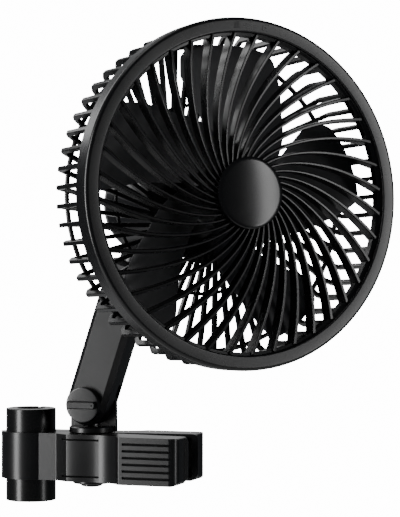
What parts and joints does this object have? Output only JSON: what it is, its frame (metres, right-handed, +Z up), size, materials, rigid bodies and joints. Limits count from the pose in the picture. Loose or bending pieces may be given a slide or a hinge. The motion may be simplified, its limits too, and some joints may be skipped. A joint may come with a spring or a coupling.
{
  "type": "clip fan",
  "caption": "Small caged fan on a tilting, swivelling arm with a spring clip that grips a round pole; the head swings from side to side.",
  "frame": {"origin": "on the axis of the gripped pole, at the middle height of the clip jaws", "axes": "+Z up the pole, +X from the pole towards the ends of the clip handles, -Y towards the side with the tilt knob"},
  "size_m": [0.2373, 0.1712, 0.2712],
  "materials": {
    "satin_black": "satin black moulded plastic",
    "gloss_black": "smooth gloss black plastic",
    "rubber_liner": "matte black soft liner",
    "button_rubber": "matte dark grey silicone",
    "steel": "zinc plated",
    "brass_parts": "turned",
    "motor_iron": "dull dark metal",
    "board_green": "green lacquered board"
  },
  "bodies": {
    "clip": {"pole_sleeve": "rubber_liner", "front_jaw": "satin_black", "torsion_spring": "steel", "hinge_pin": "steel", "hinge_washer": "satin_black"},
    "squeeze_jaw": {"rear_jaw": "satin_black"},
    "bracket": {"swivel_bracket": "satin_black"},
    "arm": {"arm_front_shell": "satin_black", "arm_rear_shell": "satin_black", "arm_screw_1": "steel", "arm_screw_2": "steel", "neck_post": "satin_black", "fixed_gear": "satin_black", "tilt_nut": "steel"},
    "knob": {"tilt_knob": "satin_black", "tilt_bolt": "steel"},
    "head": {"rear_cage": "satin_black", "cage_screw_1": "steel", "cage_screw_2": "steel", "cage_screw_3": "steel", "cage_screw_4": "steel", "motor_housing": "satin_black", "rear_housing": "satin_black", "housing_screw_1": "steel", "housing_screw_2": "steel", "housing_screw_3": "steel", "back_panel": "satin_black", "circuit_board": "board_green", "power_inlet": "satin_black", "motor_case": "steel", "motor_end_plate": "steel", "bearing_front": "brass_parts", "bearing_rear": "brass_parts", "motor_magnets": "motor_iron", "swing_motor": "steel"},
    "grille": {"front_grille": "satin_black", "hub_cap": "gloss_black"},
    "rotor": {"fan_blade": "gloss_black", "blade_clip": "satin_black", "motor_shaft": "steel", "motor_rotor": "motor_iron"},
    "pinion": {"swing_pinion": "brass_parts"},
    "speed_key": {"speed_button": "button_rubber"},
    "swing_key": {"swing_button": "button_rubber"}
  },
  "joints": [
    {"name": "clip_squeeze", "type": "hinge", "parent": "clip", "child": "squeeze_jaw", "pos_m": [0.038, 0, 0], "axis": [0, 0, -1], "range_deg": [0, 14], "stiffness_Nm_per_rad": 0.5, "springref_deg": -34.38, "deforming": ["torsion_spring"]},
    {"name": "clip_swivel", "type": "hinge", "parent": "clip", "child": "bracket", "pos_m": [0.038, 0, 0.0155], "axis": [0, 0, 1], "range_deg": [-90, 90]},
    {"name": "arm_tilt", "type": "hinge", "parent": "bracket", "child": "arm", "pos_m": [0.038, -0.00115, 0.0303], "axis": [0, 1, 0], "range_deg": [-60, 60]},
    {"name": "knob_turn", "type": "hinge", "parent": "arm", "child": "knob", "pos_m": [0.038, -0.012, 0.0303], "axis": [0, -1, 0], "range_deg": [0, 180]},
    {"name": "head_swing", "type": "hinge", "parent": "arm", "child": "head", "pos_m": [0.07508, -0.00115, 0.14443], "axis": [0.309, 0, 0.9511], "range_deg": [-90, 0]},
    {"name": "pinion_spin", "type": "hinge", "parent": "head", "child": "pinion", "pos_m": [0.07704, -0.00808, 0.12802], "axis": [0.309, 0, 0.9511], "range_deg": [-200, 5]},
    {"name": "fan_spin", "type": "hinge", "parent": "head", "child": "rotor", "pos_m": [0.07508, -0.00115, 0.14443], "axis": [0.7316, -0.6797, 0.0521], "continuous": true},
    {"name": "grille_twist", "type": "hinge", "parent": "head", "child": "grille", "pos_m": [0.07508, -0.00115, 0.14443], "axis": [0.7316, -0.6797, 0.0521], "range_deg": [0, 12]},
    {"name": "speed_press", "type": "slide", "parent": "head", "child": "speed_key", "axis": [0.7316, -0.6797, 0.0521], "range_m": [0, 0.0008], "stiffness_N_per_m": 300, "springref_m": -0.0006},
    {"name": "swing_press", "type": "slide", "parent": "head", "child": "swing_key", "axis": [0.7316, -0.6797, 0.0521], "range_m": [0, 0.0008], "stiffness_N_per_m": 300, "springref_m": -0.0006}
  ],
  "couplings": [
    {"joint": "pinion_spin", "follows": "head_swing", "ratio": 2.1667}
  ]
}
